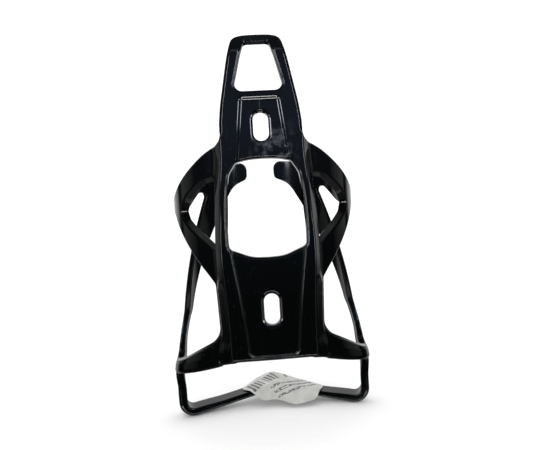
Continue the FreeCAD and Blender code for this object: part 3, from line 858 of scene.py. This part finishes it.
def painted_highlight_mark(side, material):
    """A thin ragged pale line across the window's cut wall at its pointed end, a painted highlight where
    the wing's two branches meet.
    """
    ends = []
    across, up = WINDOW_POINT
    for back, depth in ((0.1, HIGHLIGHT_MARK_INSET), (1.15, WING_WALL - HIGHLIGHT_MARK_INSET)):
        place, normal = face_frame(np.array([across - back]), np.array([up]))[:2]
        ends.append(Vector((place - normal * depth)[0] * (side, 1, 1)))
    along = ends[1] - ends[0]
    turn = along.to_track_quat("Z", "Y")
    points = []
    for ring in range(HIGHLIGHT_MARK_RINGS):
        share = ring / (HIGHLIGHT_MARK_RINGS - 1)
        swell = 0.6 + 0.4 * math.sin(math.pi * share)
        radius = HIGHLIGHT_MARK_RADIUS * swell * (1.0 + 0.2 * math.sin(11.0 * share + side))
        for spoke in range(HIGHLIGHT_MARK_SPOKES):
            angle = 2 * math.pi * spoke / HIGHLIGHT_MARK_SPOKES
            offset = Vector((math.cos(angle) * radius, math.sin(angle) * radius * 0.8, 0.0))
            points.append(ends[0] + along * share + turn @ offset)
    polygons = [tuple(reversed(range(HIGHLIGHT_MARK_SPOKES))),
                tuple(range(len(points) - HIGHLIGHT_MARK_SPOKES, len(points)))]
    for first in range(0, len(points) - HIGHLIGHT_MARK_SPOKES, HIGHLIGHT_MARK_SPOKES):
        for spoke in range(HIGHLIGHT_MARK_SPOKES):
            after = (spoke + 1) % HIGHLIGHT_MARK_SPOKES
            polygons.append((first + spoke, first + after, first + HIGHLIGHT_MARK_SPOKES + after,
                             first + HIGHLIGHT_MARK_SPOKES + spoke))
    name = "painted_highlight_mark_" + ("right" if side > 0 else "left")
    new_piece(name, points, polygons, [len(p) == 4 for p in polygons], material)


# ---------------- materials
def new_material(name):
    """A node material, with its nodes and links."""
    material = bpy.data.materials.new(name)
    material.use_nodes = True
    return material, material.node_tree.nodes, material.node_tree.links


def ramp(nodes, stops):
    """A colour ramp from (place, grey or colour) stops."""
    made = nodes.new("ShaderNodeValToRGB")
    made.color_ramp.interpolation = "EASE"
    while len(made.color_ramp.elements) < len(stops):
        made.color_ramp.elements.new(0.5)
    for element, (place, tone) in zip(made.color_ramp.elements, stops):
        element.position = place
        element.color = (*tone, 1) if isinstance(tone, tuple) else (tone, tone, tone, 1)
    return made


def maths_in(nodes, links):
    """A shorthand for maths nodes: numbers go in the sockets and outputs are linked."""
    def maths(kind, *values):
        """One maths node's output."""
        step = nodes.new("ShaderNodeMath")
        step.operation = kind
        for socket, value in zip(step.inputs, values):
            if isinstance(value, (int, float)):
                socket.default_value = value
            else:
                links.new(value, socket)
        return step.outputs["Value"]

    return maths


def mixed(nodes, links, blend, factor, first, second):
    """A colour mix of two outputs or colours."""
    mix = nodes.new("ShaderNodeMix")
    mix.data_type = "RGBA"
    mix.blend_type = blend
    for socket, value in (("Factor", factor), ("A", first), ("B", second)):
        if isinstance(value, (int, float, tuple)):
            mix.inputs[socket].default_value = (*value, 1) if isinstance(value, tuple) else value
        else:
            links.new(value, mix.inputs[socket])
    return mix.outputs["Result"]


def texture_in(nodes, links):
    """A shorthand for noise and cell textures over some coordinates."""
    def texture(vector, scale, detail=None):
        """A noise texture, or without a detail the distance to the nearest cell's middle."""
        made = nodes.new("ShaderNodeTexVoronoi" if detail is None else "ShaderNodeTexNoise")
        made.inputs["Scale"].default_value = scale
        links.new(vector, made.inputs["Vector"])
        if detail is None:
            return made.outputs["Distance"]
        made.inputs["Detail"].default_value = detail
        return made.outputs["Fac"]

    return texture


# Middles and reaches of the marks on the upper pad, in metres.
SMUDGE_X, SMUDGE_Z = (0.004, 0.007), (0.024, 0.008)
MOULD_LINE_Z = (0.0396, 0.0022)
MOULD_LINE_HALF_WIDTH = 0.00016


def gloss_black():
    """Deep black moulded plastic: a polished skin with scuffs, dust specks and a mould line, and painted
    sheen that makes it lighter and bluer towards the top.
    """
    material, nodes, links = new_material("gloss_black_plastic")
    shader = nodes["Principled BSDF"]
    shader.inputs["IOR"].default_value = 1.49
    place = nodes.new("ShaderNodeTexCoord").outputs["Object"]
    maths, texture = maths_in(nodes, links), texture_in(nodes, links)
    split = nodes.new("ShaderNodeSeparateXYZ")
    links.new(place, split.inputs["Vector"])
    x, y, z = (split.outputs[axis] for axis in "XYZ")

    def near(value, middle, reach):
        """About 1 where a coordinate is within its reach of a middle, and 0 well beyond."""
        away = maths("DIVIDE", maths("ABSOLUTE", maths("SUBTRACT", value, middle)), reach)
        return maths("SMOOTH_MIN", 1.0, maths("MAXIMUM", 0.0, maths("SUBTRACT", 1.3, away)), 0.3)

    on_face = near(y, 0.0, 0.003)
    smudge = maths("MULTIPLY", near(x, *SMUDGE_X), maths("MULTIPLY", near(z, *SMUDGE_Z), on_face))
    cloud = maths("MAXIMUM", 0.0, maths("SUBTRACT", texture(place, 420.0, 6.0), 0.47))
    scuff = maths("MULTIPLY", maths("MULTIPLY", cloud, smudge), 0.5)
    dust = maths("LESS_THAN", texture(place, 650.0), 0.075)
    dust = maths("MULTIPLY", dust, maths("GREATER_THAN", texture(place, 60.0, 2.0), 0.50))
    line = maths("LESS_THAN", maths("ABSOLUTE", x), MOULD_LINE_HALF_WIDTH)
    line = maths("MULTIPLY", line, maths("MULTIPLY", near(z, *MOULD_LINE_Z), on_face))
    pale = maths("ADD", maths("ADD", scuff, maths("MULTIPLY", dust, 0.07)), maths("MULTIPLY", line, 0.05))
    # Painted sheen: the base colour grows lighter and bluer with height, standing in for the reflection on
    # the upper plate.
    painted_sheen = ramp(nodes, [(0.3, (0.0013, 0.0017, 0.0018)), (0.7, (0.0034, 0.0040, 0.0054))])
    links.new(maths("ADD", maths("MULTIPLY", z, 4.0), 0.45), painted_sheen.inputs["Fac"])
    links.new(mixed(nodes, links, "MIX", pale, painted_sheen.outputs["Color"], (0.62, 0.66, 0.78)),
              shader.inputs["Base Color"])
    haze = nodes.new("ShaderNodeMapRange")
    for socket, value in (("From Min", 0.35), ("From Max", 0.75), ("To Min", 0.05), ("To Max", 0.13)):
        haze.inputs[socket].default_value = value
    links.new(texture(place, 90.0, 5.0), haze.inputs["Value"])
    rough = maths("ADD", haze.outputs["Result"], maths("MULTIPLY", scuff, 1.6))
    links.new(rough, shader.inputs["Roughness"])
    bump = nodes.new("ShaderNodeBump")
    bump.inputs["Strength"].default_value = 0.008
    bump.inputs["Distance"].default_value = 0.0005
    links.new(texture(place, 220.0, 2.0), bump.inputs["Height"])
    links.new(bump.outputs["Normal"], shader.inputs["Normal"])
    return material


def label_paper():
    """Coated paper with rows of printed marks that spell nothing."""
    material, nodes, links = new_material("label_paper_print")
    shader = nodes["Principled BSDF"]
    shader.inputs["Roughness"].default_value = 0.42
    shader.inputs["IOR"].default_value = 1.45
    maths, texture = maths_in(nodes, links), texture_in(nodes, links)
    sheet = nodes.new("ShaderNodeUVMap")
    sheet.uv_map = "sheet"
    turned = nodes.new("ShaderNodeMapping")
    turned.inputs["Location"].default_value = (0.259, -0.303, 0)
    turned.inputs["Rotation"].default_value = (0, 0, math.radians(-32.0))
    links.new(sheet.outputs["UV"], turned.inputs["Vector"])
    split = nodes.new("ShaderNodeSeparateXYZ")
    links.new(turned.outputs["Vector"], split.inputs["Vector"])
    along, across = split.outputs["X"], split.outputs["Y"]

    def between(value, low, high):
        """1 between two limits and 0 elsewhere."""
        return maths("MULTIPLY", maths("GREATER_THAN", value, low), maths("LESS_THAN", value, high))

    bars = maths("GREATER_THAN", maths("SINE", maths("MULTIPLY", along, 135.0)), -0.4)
    groups = maths("ADD", between(along, 0.03, 0.2), between(along, 0.245, 0.42))
    bars = maths("MULTIPLY", maths("MULTIPLY", bars, groups), between(across, -0.21, -0.02))
    mark = maths("MULTIPLY", between(along, 0.5, 0.53), between(across, -0.2, -0.13))
    rows = maths("GREATER_THAN", maths("SINE", maths("MULTIPLY", across, 92.0)), 0.0)
    broken = maths("GREATER_THAN", texture(turned.outputs["Vector"], 52.0, 1.0), 0.46)
    dashes = maths("MULTIPLY", rows, broken)
    area = maths("MULTIPLY", between(along, 0.2, 0.74), between(across, -0.47, -0.27))
    ink = maths("MAXIMUM", maths("MAXIMUM", bars, mark), maths("MULTIPLY", dashes, area))
    paper = ramp(nodes, [(0.3, (0.50, 0.50, 0.47)), (0.7, (0.60, 0.60, 0.575))])
    links.new(texture(sheet.outputs["UV"], 9.0, 3.0), paper.inputs["Fac"])
    links.new(mixed(nodes, links, "MIX", maths("MULTIPLY", ink, 0.93), paper.outputs["Color"],
                    (0.1, 0.1, 0.105)), shader.inputs["Base Color"])
    return material


def painted_highlight_plastic():
    """Pale grey, cloudier in places: the painted highlight at the windows' points."""
    material, nodes, links = new_material("painted_highlight_plastic")
    shader = nodes["Principled BSDF"]
    shader.inputs["Roughness"].default_value = 0.5
    place = nodes.new("ShaderNodeTexCoord").outputs["Object"]
    tone = ramp(nodes, [(0.3, (0.38, 0.38, 0.36)), (0.65, (0.68, 0.68, 0.66))])
    links.new(texture_in(nodes, links)(place, 1500.0, 3.0), tone.inputs["Fac"])
    links.new(tone.outputs["Color"], shader.inputs["Base Color"])
    return material


def plain(name, colour, roughness):
    """One even colour, for the stage."""
    material, nodes = new_material(name)[:2]
    shader = nodes["Principled BSDF"]
    shader.inputs["Base Color"].default_value = (*colour, 1)
    shader.inputs["Roughness"].default_value = roughness
    return material


# ---------------- stage, light and camera
DOME = 2.5                  # radius of the dome, in metres
FLOOR = 4.0                 # radius of the floor, in metres
# The plain lists run round the horizon, from straight beyond the cage (0) to behind the camera (1).
# Those named UP, BELOW or GAP, and LOW_STRIP, run from straight down (0) through level (0.5) to
# straight up (1), and STRIPS runs from straight behind the camera (0) to straight beyond (1).
SWEEP = [(0.0, 1.0), (0.15, 0.85), (0.245, 0.62), (0.275, 0.1), (0.3, 0.0)]
SWEEP_UP = [(0.0, 0.05), (0.40, 0.02), (0.43, 0.06), (0.472, 0.75), (0.5, 1.0), (0.66, 0.9), (0.733, 0.25),
            (0.84, 0.05)]
# The sweep's lower part, narrower than the rest.
LOW_SWEEP = [(0.0, 1.0), (0.2, 0.9), (0.225, 0.3), (0.24, 0.0)]
LOW_UP = [(0.3, 0.06), (0.36, 0.26), (0.42, 0.42), (0.455, 0.35), (0.49, 0.0)]
# The olive wall to either side of the sweep.
WALL = [(0.31, 0.0), (0.345, 1.0), (0.42, 0.75), (0.47, 0.4), (0.485, 0.02), (0.5, 0.0)]
WALL_UP = [(0.38, 0.0), (0.47, 0.8), (0.5, 1.0), (0.6, 1.1), (0.7, 0.5), (0.85, 0.15)]
WALL_TONE = (0.20, 0.215, 0.20)
# The room behind the camera, bluish above.
ROOM = [(0.6, 0.0), (0.75, 1.0)]
ROOM_UP = [(0.42, (0.0, 0.004, 0.005)), (0.5, (0.018, 0.035, 0.05)), (0.58, (0.10, 0.145, 0.23)),
           (0.67, (0.05, 0.075, 0.12)), (0.75, (0.008, 0.012, 0.02))]
# What the floor adds close under the cage.
BELOW = [(0.0, 0.12), (0.12, 0.09), (0.24, 0.01), (0.3, 0.0)]
# The narrow strip lights 45 degrees off the camera, with a gap level with the arms.
STRIPS = [(0.0, 0.0), (0.226, 0.0), (0.24, 1.0), (0.26, 1.0), (0.274, 0.0), (1.0, 0.0)]
STRIP_GAP = [(0.335, 0.0), (0.36, 0.3), (0.44, 0.3), (0.47, 1.0), (0.514, 1.0), (0.52, 0.0), (0.549, 0.0),
             (0.553, 1.0), (0.66, 1.0), (0.7, 0.15)]
# One more strip low behind the camera, which draws the recess's top step.
LOW_STRIP = [(0.286, 0.0), (0.294, 1.0), (0.314, 1.0), (0.322, 0.0)]
LOW_STRIP_ENDS = [(0.84, 0.0), (0.88, 1.0)]
STRIP_POWER = 17.0


def surroundings():
    """What the gloss mirrors: a white sweep beyond, an olive wall, a dim room and strip lights."""
    material, nodes, links = new_material("studio_dome")
    nodes.remove(nodes["Principled BSDF"])
    glow = nodes.new("ShaderNodeEmission")
    place = nodes.new("ShaderNodeTexCoord")
    split = nodes.new("ShaderNodeSeparateXYZ")
    links.new(place.outputs["Object"], split.inputs["Vector"])
    maths = maths_in(nodes, links)

    def times(first, second):
        """One tone dimmed by another."""
        return mixed(nodes, links, "MULTIPLY", 1.0, first, second)

    def toned(place_on_ramp, stops):
        """The colour that the stops give at a place from 0 to 1."""
        made = ramp(nodes, stops)
        links.new(place_on_ramp, made.inputs["Fac"])
        return made.outputs["Color"]

    turn = maths("ARCTAN2", maths("ABSOLUTE", split.outputs["X"]), split.outputs["Y"])
    around = maths("DIVIDE", turn, math.pi)
    rise = maths("ARCSINE", maths("DIVIDE", split.outputs["Z"], DOME))
    level = maths("ADD", maths("DIVIDE", rise, math.pi), 0.5)
    off_camera = maths("DIVIDE", maths("ARCCOSINE", maths("DIVIDE", split.outputs["Y"], -DOME)), math.pi)
    sweep = times(toned(around, SWEEP), toned(level, SWEEP_UP))
    low = times(toned(around, LOW_SWEEP), toned(level, LOW_UP))
    wall = times(times(toned(around, WALL), toned(level, WALL_UP)), WALL_TONE)
    room = times(toned(around, ROOM), toned(level, ROOM_UP))
    strips = times(toned(off_camera, STRIPS), toned(level, STRIP_GAP))
    low_strip = times(toned(level, LOW_STRIP), toned(around, LOW_STRIP_ENDS))
    strips = mixed(nodes, links, "ADD", 1.0, strips, low_strip)
    total = sweep
    for tones in (wall, low, room, toned(level, BELOW), strips):
        total = mixed(nodes, links, "ADD", 1.0, total, tones)
    links.new(total, glow.inputs["Color"])
    links.new(maths("ADD", maths("MULTIPLY", strips, STRIP_POWER), 1.0), glow.inputs["Strength"])
    links.new(glow.outputs["Emission"], nodes["Material Output"].inputs["Surface"])
    bpy.ops.mesh.primitive_uv_sphere_add(segments=96, ring_count=48, radius=DOME)
    dome = bpy.context.object
    dome.name = "studio_dome"
    dome.data.materials.append(material)
    dome.visible_camera = False
    dome.visible_diffuse = False
    dome.visible_shadow = False
    dome.visible_transmission = False


def stage_and_light():
    """A pale floor under the cage, even white light from the world, and the dome."""
    floor_z = cad_box[0].z
    bpy.ops.mesh.primitive_circle_add(vertices=96, radius=FLOOR, fill_type="NGON", location=(0, 0, floor_z))
    floor = bpy.context.object
    floor.name = "floor"
    floor.data.materials.append(plain("pale_floor", (0.94, 0.94, 0.94), 0.9))
    floor.visible_glossy = False
    world = bpy.data.worlds.new("studio")
    bpy.context.scene.world = world
    world.use_nodes = True
    background = world.node_tree.nodes["Background"]
    background.inputs["Color"].default_value = (1, 1, 1, 1)
    background.inputs["Strength"].default_value = 1.25
    bpy.context.scene.view_settings.view_transform = "Standard"
    surroundings()


def photo_camera():
    """The photograph's view: close to the mounting face, a little to the left and level."""
    data = bpy.data.cameras.new("camera")
    data.sensor_width = 36.0
    data.lens = 25.1
    data.clip_start = 0.01
    data.clip_end = 20.0
    camera = bpy.data.objects.new("camera", data)
    camera.location = Vector((-3.4, -133.0, 0.0)) * MM
    turn_right, tip_down, roll = math.radians(2.66), math.radians(1.1), math.radians(-3.54)
    camera.rotation_mode = "XYZ"
    look = Euler((math.radians(90) - tip_down, 0, -turn_right), "XYZ").to_matrix()
    spin = Euler((0, 0, roll), "XYZ").to_matrix()
    camera.rotation_euler = (look @ spin).to_euler("XYZ")
    bpy.context.scene.collection.objects.link(camera)
    bpy.context.scene.camera = camera


photo_camera()
stage_and_light()
build_cage(gloss_black())
build_label(label_paper())
# The pale marks at the windows' points paint a highlight where the wing's branches meet.
highlight_paint = painted_highlight_plastic()
for side in (1, -1):
    painted_highlight_mark(side, highlight_paint)
